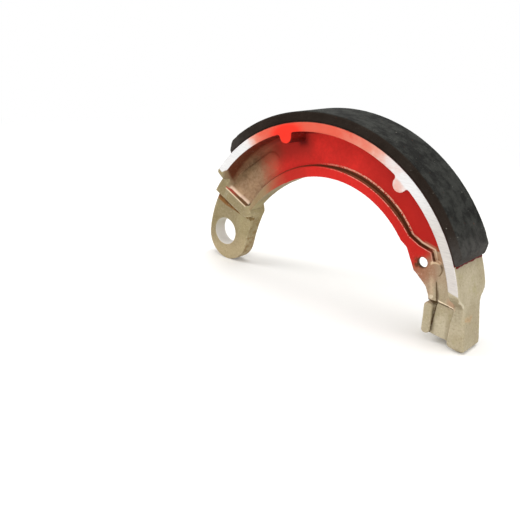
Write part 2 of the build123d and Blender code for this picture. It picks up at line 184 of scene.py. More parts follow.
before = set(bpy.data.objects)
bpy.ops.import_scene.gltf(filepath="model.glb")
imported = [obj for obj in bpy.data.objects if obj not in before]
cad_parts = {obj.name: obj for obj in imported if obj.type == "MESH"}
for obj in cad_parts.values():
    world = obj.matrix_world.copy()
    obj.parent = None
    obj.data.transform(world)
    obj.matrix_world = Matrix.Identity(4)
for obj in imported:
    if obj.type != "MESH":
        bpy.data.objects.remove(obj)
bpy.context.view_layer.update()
scene = bpy.context.scene


# --- camera -----------------------------------------------------------------------------
def add_camera():
    """The camera in front of the shoe, on its right and above it."""
    right = Vector(CAMERA_RIGHT)
    up = Vector(CAMERA_UP)
    back = right.cross(up)
    data = bpy.data.cameras.new("camera")
    data.sensor_width = CAMERA_SENSOR
    data.lens = CAMERA_LENS
    data.clip_start = NEAREST
    camera = bpy.data.objects.new("camera", data)
    turned = Matrix((right, up, back)).transposed().to_4x4()
    camera.matrix_world = Matrix.Translation(Vector(CAMERA_PLACE) * MM) @ turned
    scene.collection.objects.link(camera)
    scene.camera = camera


add_camera()


# --- shader values ----------------------------------------------------------------------
class Value:
    """A socket of a node tree. Arithmetic on it adds Math nodes."""

    def __init__(self, bench, socket):
        self.bench = bench
        self.socket = socket

    def math(self, operation, *terms):
        """One Math node."""
        return self.bench.node(
            "ShaderNodeMath", {"operation": operation}, dict(enumerate(terms)))

    def most(self, *others):
        """The largest of several values."""
        largest = self
        for other in others:
            largest = self.math("MAXIMUM", largest, other)
        return largest

    def least(self, *others):
        """The smallest of several values."""
        smallest = self
        for other in others:
            smallest = self.math("MINIMUM", smallest, other)
        return smallest

    def __add__(self, other):
        return self.math("ADD", self, other)

    def __sub__(self, other):
        return self.math("SUBTRACT", self, other)

    def __rsub__(self, other):
        return self.math("SUBTRACT", other, self)

    def __mul__(self, other):
        return self.math("MULTIPLY", self, other)

    def __truediv__(self, other):
        return self.math("DIVIDE", self, other)

    def __rtruediv__(self, other):
        return self.math("DIVIDE", other, self)

    def __pow__(self, other):
        return self.math("POWER", self, other)

    def __abs__(self):
        return self.math("ABSOLUTE", self)

    __radd__ = __add__
    __rmul__ = __mul__

    def rise(self, low, high):
        """0 below low, 1 above high and smooth between; high may be the lower one."""
        return self.bench.node(
            "ShaderNodeMapRange", {"interpolation_type": "SMOOTHSTEP"},
            {"Value": self, "From Min": low, "From Max": high})

    def between(self, low, high, soft=0.15):
        """1 between two values, 0 outside them, with soft ends."""
        return self.rise(low - soft, low + soft) * self.rise(high + soft, high - soft)

    def near(self, middle, reach):
        """1 at middle, 0 further than reach from it."""
        return abs(self - middle).rise(reach, 0.0)


class Bench:
    """A node tree that is being written."""

    def __init__(self, tree):
        self.tree = tree
        tree.nodes.clear()

    def node(self, kind, settings=None, sockets=None, out=0):
        """Adds one node, its settings first, then its sockets; gives one of its outputs."""
        made = self.tree.nodes.new(kind)
        for key, value in (settings or {}).items():
            setattr(made, key, value)
        for key, value in (sockets or {}).items():
            if isinstance(value, Value):
                self.tree.links.new(value.socket, made.inputs[key])
            else:
                made.inputs[key].default_value = value
        return Value(self, made.outputs[out]) if made.outputs else None


class Finish(Bench):
    """A material, written as expressions on places, in millimetres, and directions."""

    def __init__(self, name):
        self.material = bpy.data.materials.new(name)
        self.material.use_nodes = True
        super().__init__(self.material.node_tree)
        self.place = self.node(
            "ShaderNodeVectorMath", {"operation": "SCALE"},
            {0: self.node("ShaderNodeTexCoord", out="Object"), "Scale": 1 / MM})
        self.x, self.y, self.z = self.parts(self.place)
        facing = self.node("ShaderNodeNewGeometry", out="Normal")
        self.face_x, self.face_y, self.face_z = self.parts(facing)

    def parts(self, vector):
        """The three numbers of a vector."""
        split = self.node("ShaderNodeSeparateXYZ", None, {0: vector})
        return [Value(self, socket) for socket in split.socket.node.outputs]

    def noise(self, size, detail=3.0, roughness=0.6, seed=0.0, stretch=None):
        """Even noise from 0 to 1, whose lumps are about this many millimetres."""
        place = self.place
        if stretch:
            place = self.node(
                "ShaderNodeVectorMath", {"operation": "MULTIPLY"}, {0: place, 1: stretch})
        return self.node(
            "ShaderNodeTexNoise", {"noise_dimensions": "4D"},
            {"Vector": place, "W": seed, "Scale": 1 / size, "Detail": detail,
             "Roughness": roughness})

    def waver(self, size, amount, detail=3.0, seed=0.0):
        """Noise either side of 0, which makes an edge ragged when it is added."""
        return (self.noise(size, detail, seed=seed) - 0.5) * amount

    def paint(self, base, colour, mask):
        """A colour laid over another where the mask says."""
        def full(tone):
            return tone if isinstance(tone, Value) else (*tone, 1.0)
        return self.node(
            "ShaderNodeMix", {"data_type": "RGBA"}, {0: mask, 6: full(base), 7: full(colour)},
            out=2)

    def blend(self, low, high, mask):
        """A number between two others."""
        return self.node("ShaderNodeMix", None, {0: mask, 2: low, 3: high})

    def bump(self, height, depth):
        """Facing of a rough skin whose height runs over this many millimetres."""
        return self.node(
            "ShaderNodeBump", None, {"Height": height, "Distance": depth * MM, "Strength": 1.0})

    def finish(self, **sockets):
        """Ends the tree with one shader, whose sockets are given by their names."""
        sockets = {key.replace("_", " ").title(): value for key, value in sockets.items()}
        sockets["Specular IOR Level"] = sockets.pop("Specular")
        return self.show(self.node("ShaderNodeBsdfPrincipled", None, sockets))

    def show(self, shader):
        """Ends the tree: this shader is the surface."""
        self.node("ShaderNodeOutputMaterial", None, {"Surface": shader})
        return self.material


class ShoeFinish(Finish):
    """A finish that knows each place's drum radius and angle, and the band and boss."""

    def __init__(self, name):
        super().__init__(name)
        across = self.x - DRUM[0]
        above = self.z - DRUM[1]
        self.radius = (across * across + above * above) ** 0.5
        turned = self.x.math("ARCTAN2", above, across)
        self.angle = turned * (180 / pi) - DRUM_TURN
        self.drum_x = self.radius * self.x.math("COSINE", self.angle * (pi / 180))
        self.drum_z = self.radius * self.x.math("SINE", self.angle * (pi / 180))
        turn = radians(LAND_ANGLE)
        self.along_land = self.drum_x * cos(turn) + self.drum_z * sin(turn)
        self.across_land = self.drum_z * cos(turn) - self.drum_x * sin(turn)
        from_boss = self.away_from(BOSS)
        legs = [self.beyond(*ends) for ends in zip(BAND_LEGS, BAND_LEGS[1:])]
        self.off_boss = from_boss - BOSS_R
        self.off_band = self.blend(
            legs[0].least(legs[1]).most(legs[2]), self.radius - BAND_R,
            self.angle.rise(BAND_LEG_ANGLE - 0.5, BAND_LEG_ANGLE + 0.5))
        self.outward = (self.face_x * across + self.face_z * above) / self.radius
        self.hollow = self.node(
            "ShaderNodeAttribute", {"attribute_name": "hollow"}, out="Fac")

    def away_from(self, place):
        """Distance from a place given in the drum's frame, seen along the drum's axis."""
        return ((self.drum_x - place[0]) ** 2 + (self.drum_z - place[1]) ** 2) ** 0.5

    def faces_front(self, low, high):
        """0 to 1 as the surface's turn towards the front goes from low to high."""
        return (self.face_y * -1.0).rise(low, high)

    def beyond(self, start, end):
        """Distance from a line through two places of the drum's frame, to its left."""
        run = hypot(end[0] - start[0], end[1] - start[1])
        along = ((end[0] - start[0]) / run, (end[1] - start[1]) / run)
        offset = along[0] * start[1] - along[1] * start[0]
        return self.drum_z * along[0] - self.drum_x * along[1] - offset

    def spot(self, x, y, z, size, ragged=0.35):
        """Soft ragged spot about a place given in the drum's frame."""
        dx = self.drum_x - x
        dy = self.y + MIDDLE - y
        dz = self.drum_z - z
        away = (dx * dx + dy * dy + dz * dz) ** 0.5 / size
        lumps = (self.noise(size, roughness=0.5) - 0.5) * ragged * 2
        return (away + lumps).rise(1.0, 0.35)


# --- finishes ---------------------------------------------------------------------------
# The masks are written on the shoe's forms. Y of their front faces: rim -17.0, toe -11.9,
# finger -11.3, clip seat -9.7, band -7.6, panel -5.9, eye -3.5.
def blasted(f):
    """Bare blasted skin: sandy and clouded, browner at the pivot end, paler clip seat."""
    pivot_end = f.drum_x.rise(10.0, -25.0)
    blotch = f.noise(14.0).rise(0.35, 0.65)
    colour = f.paint(*SAND, blotch)
    seat = f.drum_x.between(57.6, 62.5, 0.6) * f.y.between(-10.2, -9.2)
    colour = f.paint(colour, CLIP_SEAT, seat * f.drum_z.rise(0.5, -5.0) * 0.45)
    flank = f.drum_x.between(63.0, 69.8, 0.8) * f.y.rise(-10.6, -11.4)
    flank = flank * f.drum_z.rise(-7.0, 1.0) * f.drum_z.rise(10.0, 6.0)
    colour = f.paint(colour, FLANK_SHADE, flank * 0.34)
    eye = f.paint(*EYE_SAND, blotch)
    eye = f.paint(eye, EYE_FOOT, f.drum_z.rise(14.0, 4.0) * 0.8)
    colour = f.paint(colour, eye, pivot_end)
    eye_edge = f.drum_x.rise(-51.0, -58.0) * f.drum_z.rise(1.0, 8.0)
    land = f.y.rise(-6.0, -7.0) * f.across_land.rise(-1.0, 0.5) * f.drum_x.rise(-42.0, -48.0)
    inner_edge = f.radius.rise(49.5, 47.5) * f.angle.between(116.0, 144.0, 2.5)
    inner_edge = inner_edge * f.y.rise(-7.4, -6.8)
    colour = f.paint(colour, EDGE_SHADE, eye_edge.most(land, inner_edge * 1.25) * 0.3)
    cloud = f.noise(4.0, seed=3.0)
    return f.paint(colour, OLIVE_CLOUD, cloud.rise(0.50, 0.75) * 0.45)


def grained(f, colour, amount):
    """Dark pits and bright grains of the blasted skin."""
    grain = f.noise(0.8, roughness=0.75, seed=1.0)
    colour = f.paint(colour, PIT, grain.rise(0.50, 0.30) * 0.32 * amount)
    return f.paint(colour, BRIGHT_GRAIN, grain.rise(0.54, 0.74) * 0.24 * amount)


def weathered(f, colour):
    """Dirt and painted shade in the corners, worn edges with a painted highlight, and brown
    stains where water stood, with painted shade at the land's inner foot.
    """
    clean_step = f.drum_x.between(61.5, 66.8, 0.5) * f.drum_z.rise(3.5, 2.0)
    clean_step = clean_step * f.y.rise(-8.0, -9.0)
    # dirt and painted shade in hollows and corners
    dirt = f.hollow.rise(0.03, 0.20) * (0.8 - clean_step * 0.65)
    colour = f.paint(colour, CORNER_DIRT_AND_SHADE, dirt)
    # worn edges, with a painted highlight on the rounded edges
    worn = f.noise(0.9, 2.0, seed=12.0).rise(0.4, 0.65)
    colour = f.paint(colour, WORN_EDGE_AND_HIGHLIGHT, f.hollow.rise(-0.05, -0.20) * worn * 0.2)

    front = f.y.between(-6.2, -1.6) * f.faces_front(0.2, 0.6)
    ragged = f.waver(3.0, 1.4, seed=16.0)
    foot = f.across_land + ragged * 0.5
    reach = f.along_land.rise(55.0, 69.0)
    wet = (foot - reach * 2.0).rise(9.1, 8.4) * f.along_land.rise(55.5, 58.0) * front
    colour = f.paint(colour, LAND_STAIN, wet * f.across_land.rise(6.0, 7.5) * 0.9)
    core = (foot - reach * 0.5).rise(9.1, 8.7)
    core = core * f.noise(2.2, 2.0, seed=21.0).rise(0.36, 0.5)
    colour = f.paint(colour, LAND_STAIN_CORE, core * wet * 0.85)
    # brown stain and painted shade in the corner at the land's inner foot
    heel = f.spot(-47.9, 1.2, 20.5, 1.2).most(
        f.spot(-46.0, 1.2, 20.1, 1.6), f.spot(-44.5, 1.6, 20.2, 1.4))
    colour = f.paint(colour, HEEL_STAIN_AND_SHADE, heel.rise(0.1, 1.0) * 0.8)

    # browner in runs on the neck's inner side
    neck_side = f.y.rise(-3.4, -2.6) * f.drum_x.rise(-40.0, -43.0)
    neck_side = neck_side * f.drum_z.rise(21.0, 17.0)
    run = f.noise(5.0, seed=15.0, stretch=(1.0, 1.0, 2.0)).rise(0.42, 0.62)
    colour = f.paint(colour, NECK_SIDE_BROWN, neck_side * run * 0.7)
    smear = (f.drum_z + ragged).near(-1.2, 2.2) * f.y.between(-11.5, -5.0, 1.5)
    smear = smear * f.outward.rise(0.5, 0.9)
    smear = smear * f.noise(1.5, seed=13.0).rise(0.40, 0.60) * f.radius.rise(69.5, 70.0)
    return f.paint(colour, TOE_SMEAR, smear * f.drum_x.rise(60.0, 65.0) * 0.6)


def cam_end(f, colour):
    """Dust on tongue and ledge, painted highlights on the tongue's crest and the rim's end,
    painted shade on the toe's step, and what meets there.
    """
    front = f.y.rise(-6.0, -6.6)
    tongue = f.drum_x.rise(46.0, 52.0) * f.drum_z.between(3.0, 20.0, 1.5)
    tongue = tongue * f.radius.rise(66.5, 64.0)
    upper = f.drum_z.rise(6.0, 14.0).most(f.drum_x.rise(58.0, 54.0) * 0.6)
    tongue = tongue * (1.0 - f.drum_x.rise(54.5, 58.5) * 0.5)
    colour = f.paint(colour, TONGUE_DUST, tongue * front * (upper * 0.5 + 0.22))
    colour = f.paint(colour, LEDGE_DUST, f.spot(65.0, -6.5, 5.0, 3.6) * 0.35)
    # painted highlight along the crest of the tongue
    crest = abs(f.beyond((53.6, 14.0), (55.7, 6.3))).rise(1.5, 0.0)
    crest = crest * f.drum_z.between(6.5, 13.0, 1.2)
    colour = f.paint(colour, TONGUE_CREST_HIGHLIGHT, crest * front * 0.5)
    toe_step = f.drum_z.between(2.6, 11.2, 0.5) * f.radius.rise(66.0, 66.8)
    toe_step = toe_step * f.face_z.rise(-0.1, -0.4)
    colour = f.paint(colour, TOE_STEP_SHADE, toe_step * f.y.rise(-11.6, -12.2) * 0.45)
    # painted highlight on the rounded edge at the rim's end
    rim_end = f.radius.rise(69.5, 70.1) * f.drum_z.between(4.5, 10.0, 0.6)
    rim_end = rim_end * f.y.between(-16.0, -12.0)
    colour = f.paint(colour, RIM_END_HIGHLIGHT, rim_end * f.hollow.rise(-0.05, -0.15) * 0.45)
    return boss_edges(f, ledge_and_finger(f, colour, front))


def ledge_and_finger(f, colour, front):
    """Painted highlight over painted shade along the ledge, painted shade round the tongue and
    finger, and a painted shine.
    """
    ledge = f.beyond((58.35, 4.3), (66.25, 2.9))
    length = f.drum_x.between(58.3, 66.0, 0.4)
    # painted highlight on the ledge's edge
    above = ledge.between(-0.2, 0.5) * length * front
    colour = f.paint(colour, LEDGE_HIGHLIGHT, above * 0.9)
    # painted shade under the ledge
    below = ledge.between(-0.85, -0.30) * length * front
    colour = f.paint(colour, LEDGE_SHADE, below * 0.65)
    # painted shade along the step beside the tongue
    tongue_line = abs(f.beyond((55.95, 13.0), (58.35, 4.3)))
    tongue_line = tongue_line.rise(0.45, 0.1) * f.drum_z.between(4.2, 11.6, 0.7) * front
    colour = f.paint(colour, TONGUE_LINE_SHADE, tongue_line * 0.85)
    # painted shadow of the finger on the face beside it
    lean = f.drum_x - f.drum_z * 0.17 + f.waver(2.0, 0.5, 2.0, seed=20.0)
    finger_line = lean.near(57.45, 0.45) * f.drum_z.between(-9.8, 4.6, 0.3)
    finger_line = finger_line * f.y.between(-10.3, -8.6)
    colour = f.paint(colour, FINGER_SHADOW, finger_line.rise(0.15, 0.6) * 0.9)
    shine = f.spot(55.6, -5.7, 5.7, 1.25)
    colour = f.paint(colour, TONGUE_SHINE, shine.rise(0.0, 1.3) * 0.6)
    # painted shade where the tongue, finger and ledge lines meet
    crossing = f.spot(57.5, -5.0, 3.5, 1.5, ragged=0.15)
    colour = f.paint(colour, CROSSING_SHADE, crossing.rise(0.0, 0.9) * 0.9)
    # painted shade in the notch over the finger's top
    top = f.beyond((52.9, 5.2), (58.35, 3.9)).between(-0.9, 0.1)
    top = top * f.drum_x.between(52.5, 58.0)
    return f.paint(colour, FINGER_TOP_SHADE, top * front * 0.85)


def boss_edges(f, colour):
    """The rounded shoulder beside the spring hole: dusty, painted highlight above, painted
    shade beside.
    """
    colour = f.paint(colour, BOSS_DUST, f.spot(56.2, -1.2, 21.0, 3.4) * 0.6)
    ragged = f.waver(1.6, 0.7, 2.0, seed=22.0)
    # painted highlight along the top of the shoulder
    above = f.off_boss.between(-0.7, 0.4, 0.25)
    above = above * f.beyond((50.0, 16.5), (60.0, 18.5)).rise(0, 0.8)
    above = above * f.drum_x.rise(52.6, 53.6)
    colour = f.paint(colour, BOSS_HIGHLIGHT, above * f.y.rise(-5.4, -5.7) * 0.75)
    beside = (f.off_boss + ragged).between(-0.5, 0.05, 0.2)
    beside = beside * f.drum_x.rise(BOSS[0] + 1.1, BOSS[0] + 1.9)
    beside = beside * f.drum_z.between(13.6, 18.0, 0.6) * f.y.rise(-5.4, -5.7)
    return f.paint(colour, BOSS_SHADE, beside * 0.75)


def spring_hole(f, colour):
    """Brown dirt round the spring hole and painted shade on its wall."""
    dirty = f.spot(46.9, -2.7, 16.5, 1.5).most(f.spot(46.9, -2.7, 18.6, 1.6) * 0.6)
    away = f.away_from(HOLE)
    ring = away.rise(3.0, 2.3) * 0.35
    # painted shade on the hole's wall
    wall = away.rise(2.45, 2.25) * 0.8
    mask = dirty.most(ring, wall) * f.y.rise(-4.0, -6.0)
    return f.paint(colour, HOLE_DIRT_AND_SHADE, mask * 0.9)


def pocket_end(f, colour):
    """The end wall of the front pocket: painted light at its foot, painted shade above, one
    painted highlight on its edge.
    """
    level = f.y.between(-7.8, -5.8)
    length = f.along_land.between(52.8, 67.9, 0.5)
    uneven = f.waver(1.6, 0.8, 2.0, seed=23.0)
    across = f.across_land + uneven * 0.6
    # painted light on the wall's foot
    foot = across.rise(-3.3, -1.5) * across.rise(-0.7, -1.1) * f.along_land.rise(66.6, 65.6)
    colour = f.paint(colour, WALL_FOOT_LIGHT, level * length * foot * 0.75)
    shade = f.paint(*WALL_SHADE, f.along_land.rise(59.0, 64.5))
    dark = level * length * f.across_land.between(-0.85, 0.05, 0.2)
    colour = f.paint(colour, shade, dark * 0.9)
    # painted highlight along the wall's top edge
    edge = (f.across_land + uneven * 0.3).near(0.3, 0.6) * f.y.rise(-7.2, -7.5) * length
    return f.paint(colour, WALL_EDGE_HIGHLIGHT, edge.rise(0.25, 0.75) * 0.6)


def neck(f, colour):
    """The pocket's blind corner at the pivot end: bare casting behind the rim's end."""
    from_line = f.angle - (f.y - SIDES[0]) * 0.82
    inside = f.radius.between(65.2, 67.3, 0.2) * f.y.rise(-5.0, -6.5)
    inside = inside * f.angle.rise(134.0, 135.5)
    corner = from_line.rise(135.6, 137.4) * inside
    colour = f.paint(colour, BLIND_CORNER, corner)
    return f.paint(colour, BLIND_CORNER_END, from_line.rise(137.0, 141.5) * inside)


def sprayed(f, colour):
    """Red overspray on the front of web and band, brown where it thins out."""
    edge = f.waver(7.0, 9.0, seed=5.0)
    on_band = f.off_band.rise(0.2, -0.2)
    pocket = f.radius.rise(50.0, 51.5) * f.radius.rise(66.9, 66.6) * f.y.rise(-5.4, -5.9)
    front = f.faces_front(-0.15, 0.45) * f.y.rise(0.5, -3.0) * f.radius.rise(67.2, 66.7)
    web_left = (f.drum_x + edge * 0.8).rise(-44.0, -17.0)
    band_left = (f.drum_x + edge * 0.4).rise(-38.5, -20.0)
    web_right = f.drum_z.rise(22.9, 23.5).most(f.drum_x.rise(50.0, 46.0))
    dx = f.drum_x - SPRAY_END[0]
    dz = f.drum_z - SPRAY_END[1]
    from_end = (dx * dx + dz * dz) ** 0.5 + edge * 0.2
    band_right = f.drum_z.rise(26.0, 30.0).most(from_end.rise(14.5, 6.0))
    spray = front.most(pocket) * f.blend(
        web_left * web_right, band_left * band_right, on_band)

    # past the spray: brown web, darkened with painted shade under the rim
    brown = f.drum_x.rise(-12.0, -34.0) * pocket * f.across_land.rise(-1.6, -2.4)
    mottle = f.noise(4.0).rise(0.4, 0.6)
    speckle = f.noise(1.4, roughness=0.7, seed=24.0).rise(0.36, 0.64)
    colour = f.paint(colour, shaded_brown_web(f, mottle, speckle), brown * 0.85)
    band_end = f.drum_x.rise(-26.0, -36.0) * on_band * (1.0 - pocket)
    band_end = band_end * f.across_land.rise(0.5, -1.0)
    colour = f.paint(colour, BAND_DUST, band_end * f.y.rise(-6.5, -7.2) * 0.6)
    tinted = from_end.rise(21.0, 14.0) * on_band * front
    tinted = tinted * (f.drum_x.rise(54.5, 50.5) * 0.6 + 0.4)
    colour = f.paint(colour, HOLE_TINT, tinted * 0.9)
    strip = f.off_band.between(0.9, 2.0, 0.4) * f.drum_x.rise(48.0, 50.5)
    strip = strip * f.drum_z.rise(22.8, 23.6)
    colour = f.paint(colour, THIN_SPRAY, (spray * 2.0).rise(0.0, 1.0) * 0.7)
    red = spray_tones(f, on_band, speckle)
    thin = (f.noise(1.2, roughness=0.7, seed=7.0) - 0.5) * (1.0 - spray)
    colour = f.paint(colour, red, (spray + thin * 0.5).rise(0.15, 1.0) * spray.rise(0.0, 0.3))
    colour = f.paint(colour, PANEL_STRIP, strip * pocket * 0.7)
    colour = f.paint(colour, PANEL_TIP, f.spot(54.9, -1.2, 24.0, 1.7) * pocket * 0.7)
    return panel_shade(f, colour, pocket)


def shaded_brown_web(f, mottle, speckle):
    """The panel's pivot end, past the spray: dark brown with painted shade, tan towards the
    band.
    """
    web = f.paint(*BROWN_WEB, mottle)
    web = f.paint(web, BROWN_WEB_SPECK, speckle * 0.35)
    tan = f.paint(*TAN_WEB, mottle)
    tan = f.paint(tan, TAN_WEB_SPECK, speckle * 0.4)
    return f.paint(web, tan, (f.radius - f.angle.rise(134.0, 146.0) * 2.5).rise(62.5, 58.0))


def spray_tones(f, on_band, speckle):
    """The red of the spray, deeper towards the cam end and dimmer at the band's ends."""
    cloud = f.noise(10.0, seed=17.0).rise(0.35, 0.65)
    red = f.paint(*SPRAY, cloud)
    red = f.paint(red, f.paint(*CAM_SPRAY, cloud), f.angle.rise(76.0, 52.0))
    red = f.paint(red, BAND_SPRAY, on_band)
    red = f.paint(red, DEEP_SPRAY, f.drum_x.rise(15.0, 40.0) * 0.8)
    dim = f.paint(*DIM_BAND_SPRAY, f.angle.rise(113.0, 120.0))
    red = f.paint(red, dim, on_band * f.angle.rise(95.0, 108.0) * 0.6)
    return f.paint(red, SPRAY_SPECK, speckle * 0.24)


def panel_shade(f, colour, pocket):
    """Less light on the sprayed panel: beside and behind the columns, under the rim."""
    beside_lug = f.radius.rise(50.0, 59.5) * f.angle.between(97.0, 118.0, 3.0) * pocket
    colour = f.paint(colour, LUG_SHADE, beside_lug * 0.52)
    panel_end = f.radius.rise(56.0, 62.0) * f.angle.between(113.0, 128.0, 3.5) * pocket
    colour = f.paint(colour, PANEL_END_SHADE, panel_end * 0.46)
    under = f.outward.rise(-0.15, -0.65) * f.radius.rise(58.5, 64.0) * f.y.rise(7.4, 7.0)
    shade = f.paint(*RIM_SHADE, f.angle.rise(92.0, 110.0))
    shade = f.paint(shade, RIM_SHADE_END, f.angle.rise(118.0, 130.0))
    under = under * f.angle.between(20.0, 145.0, 4.0) * f.y.rise(0.0, -5.0)
    fillet = f.angle.rise(104.0, 120.0) * f.y.rise(-9.0, -6.8) * 0.45
    colour = f.paint(colour, shade, under * (0.93 - fillet))
    # painted shadow behind the column
    behind_lug = f.radius.rise(58.5, 62.0) * pocket * f.angle.between(99.6, 104.0, 1.6)
    return f.paint(colour, LUG_SHADOW, behind_lug * 0.95)


def band_wall(f, colour):
    """The step round the band: brown wall with painted shade, between two dotted painted
    highlights.
    """
    step = f.y.between(-8.0, -5.7) * f.angle.between(15.0, 142.0, 2.0)
    step = step * f.radius.rise(63.0, 60.0)
    step = step * f.drum_z.rise(18.6, 19.6)
    right = f.angle.rise(112.0, 84.0) * step
    strong = f.angle.rise(98.0, 72.0) * step
    wide = f.angle.rise(30.0, 48.0) * f.angle.rise(95.0, 70.0)
    off = f.off_band + f.waver(1.3, 0.4, 2.0, seed=18.0)
    short = f.drum_x.rise(52.0, 53.2)
    # dark line on the wall: dirt with painted shade
    colour = f.paint(colour, STEP_DIRT_AND_SHADE, off.between(-0.1, 0.45) * step * 0.7)
    # darker wall: bare brown casting with painted shade
    dark = (off - wide * 0.55 + short * 0.25).rise(0.55, 0.35)
    dark = dark * (off + wide * 0.35 - short * 0.2).rise(-0.35, -0.15)
    narrow = f.drum_x.rise(50.5, 53.0)
    dark = dark * f.blend(1.0, f.y.rise(-6.3, -6.6) * f.drum_z.rise(17.5, 20.5), narrow)
    faded = 1.0 - f.drum_x.rise(50.0, 52.6) * f.drum_z.rise(21.6, 22.4) * 0.55
    colour = f.paint(colour, STEP_DARK, dark * right * faded * 0.95)
    # painted highlight at the step's corner near the boss
    corner = f.y.rise(-6.35, -6.15) * f.off_band.between(-0.3, 0.5)
    corner = corner * f.drum_z.between(18.4, 23.2)
    colour = f.paint(colour, STEP_CORNER_HIGHLIGHT, corner * narrow * step * 0.8)
    middle = f.y.between(-7.5, -6.7) * abs(f.off_band).rise(0.45, 0.25) * strong * wide
    colour = f.paint(colour, STEP_TAN, middle * 0.7)
    dotted = f.noise(0.6, 2.0, 0.7, seed=11.0).rise(0.40, 0.56)
    # painted highlight, dotted, at the step's foot
    foot = (f.off_band - wide * 0.6).between(0.5, 1.15, 0.25) * f.y.rise(-6.6, -6.3) * strong
    whole = f.angle.rise(34.0, 28.0)
    colour = f.paint(
        colour, f.paint(*STEP_FOOT_HIGHLIGHT, whole), foot * dotted.most(whole) * 0.85)
    # painted highlight, dotted, on the band's lip
    lip = (f.off_band + wide * 0.35).between(-0.6, -0.38, 0.15) * strong
    colour = f.paint(colour, STEP_LIP_HIGHLIGHT, lip * dotted.most(whole * 0.8) * 0.7)
    groove = f.off_band.between(-0.1, 0.3) * step * f.angle.rise(106.0, 118.0)
    return f.paint(colour, STEP_GROOVE, groove * dotted * 0.6)


def machined(f):
    """Machined rim side, white at its two ends, and how much red dust lies on it."""
    edge = f.waver(7.0, 4.0, seed=5.0)
    lines = f.noise(1.0, 2.0, seed=9.0, stretch=(0.25, 3.0, 3.0)).rise(0.35, 0.65)
    colour = f.paint(*MACHINED, lines)
    colour = f.paint(colour, f.paint(*DULL_MACHINED, lines), f.angle.rise(48.0, 26.0))
    dust = (f.angle + edge).rise(126.0, 110.5) * (f.angle + edge).rise(39.0, 85.5)
    lobe = f.radius.rise(RIM_R + 0.8, RIM_R - 0.8)
    lug = f.angle.near(101.6, 13.0) * f.radius.rise(74.0, 67.0)
    dust = dust.most(lobe * f.angle.near(49.6, 9.0) * 0.41) * f.y.rise(-4.0, -8.0)
    streak = f.noise(5.0, seed=19.0).rise(0.35, 0.65) * 0.25
    colour = f.paint(colour, PINK_DUST, (dust * 1.7 - streak).rise(0.0, 1.0) * 0.95)
    colour = f.paint(colour, RED_DUST, (dust * 1.5 - streak).rise(0.45, 1.36) * 0.9)
    return f.paint(colour, LUG_RED, lug.rise(0.1, 0.75) * dust.rise(0.2, 0.6)), dust


def machined_length(f):
    """1 where the rim side was machined; its two ends on the front stay as cast."""
    pivot = (f.angle + f.radius.rise(68.4, 66.4) * 2.6).rise(139.9, 139.3)
    cam = f.beyond((65.9, 11.6), (69.4, 10.4)).rise(-0.15, 0.15).most(f.drum_x.rise(50.0, 45.0))
    return (pivot * cam).most(f.y.rise(-8.0, -4.0))


def casting_finish():
    """Blasted casting: machined rim sides, bore with painted light and shade, red overspray,
    stains, and dirt with painted shade in the corners.
    """
    f = ShoeFinish("blasted_casting")
    from_side = HALF_WIDTH - abs(f.y - sum(SIDES) / 2)
    side = from_side.rise(0.35, 0.2) * abs(f.face_y).rise(0.30, 0.55)
    bore = ((f.x * f.x + f.z * f.z) ** 0.5).rise(BORE_R + 0.35, BORE_R + 0.12)
    painted = cam_end(f, sprayed(f, weathered(f, blasted(f))))
    painted = spring_hole(f, neck(f, painted))
    side = side * machined_length(f)
    bare = f.faces_front(0.3, -0.3).most(
        f.radius.rise(66.9, 67.2), f.across_land.rise(-1.5, 1.0), f.drum_z.rise(24.0, 14.0))
    colour = band_wall(f, pocket_end(f, grained(f, painted, bare)))
    rim_side, dust = machined(f)
    colour = f.paint(colour, rim_side, side)
    # bore with painted light below and painted shade above
    colour = f.paint(colour, f.paint(*LIT_AND_SHADED_BORE, f.z.rise(-4.5, 3.5)), bore)

    bright = (side * (1.0 - dust)).most(bore)
    height = f.noise(0.9, roughness=0.75, seed=1.0) * 0.7 + f.noise(0.3, 2.0, seed=2.0) * 0.3
    return f.finish(
        base_color=colour,
        metallic=f.blend(0.0, 0.6, side * (1.0 - dust)),
        roughness=f.blend(0.62, 0.36, bright),
        specular=0.1,
        normal=f.bump(height * (bare * 0.8 + 0.2) * (1.0 - side.most(bore)), 0.22),
    )


def lining_finish():
    """Moulded lining: charcoal, greyer at its worn ends, with light and rusty specks."""
    f = ShoeFinish("moulded_lining")
    blotch = f.noise(9.0, 4.0, 0.65)
    grain = f.noise(0.5, 2.0, 0.7, seed=1.0)
    colour = f.paint(*LINING, blotch.rise(0.3, 0.7))
    outer = f.outward.rise(0.5, 0.9) * f.radius.rise(LINING_R - 2.0, LINING_R - 0.5)
    patch = f.noise(5.0, 4.0, 0.7, seed=3.0).rise(0.38, 0.62)
    colour = f.paint(colour, f.paint(*LINING_FACE, patch), outer)
    worn = f.angle.rise(30.0, 17.5).most(f.angle.rise(114.0, 130.0) * 0.6)
    colour = f.paint(colour, LINING_WORN, worn * (patch * 0.35 + 0.40))
    colour = f.paint(colour, LINING_PIT, grain.rise(0.45, 0.28) * 0.6)
    colour = f.paint(colour, LINING_GRAIN, grain.rise(0.60, 0.80) * 0.55)
    fleck = f.noise(1.1, 1.0, 0.5, seed=4.0)
    colour = f.paint(colour, LINING_FLECK, fleck.rise(0.74, 0.80) * 0.7)
    rust = f.noise(2.2, seed=6.0)
    colour = f.paint(colour, LINING_RUST, rust.rise(0.66, 0.76) * 0.5)
    return f.finish(
        base_color=colour,
        roughness=f.blend(0.62, 0.85, grain),
        specular=0.06,
        normal=f.bump(grain * 0.6 + f.noise(2.5, seed=8.0) * 0.8, 0.4),
    )


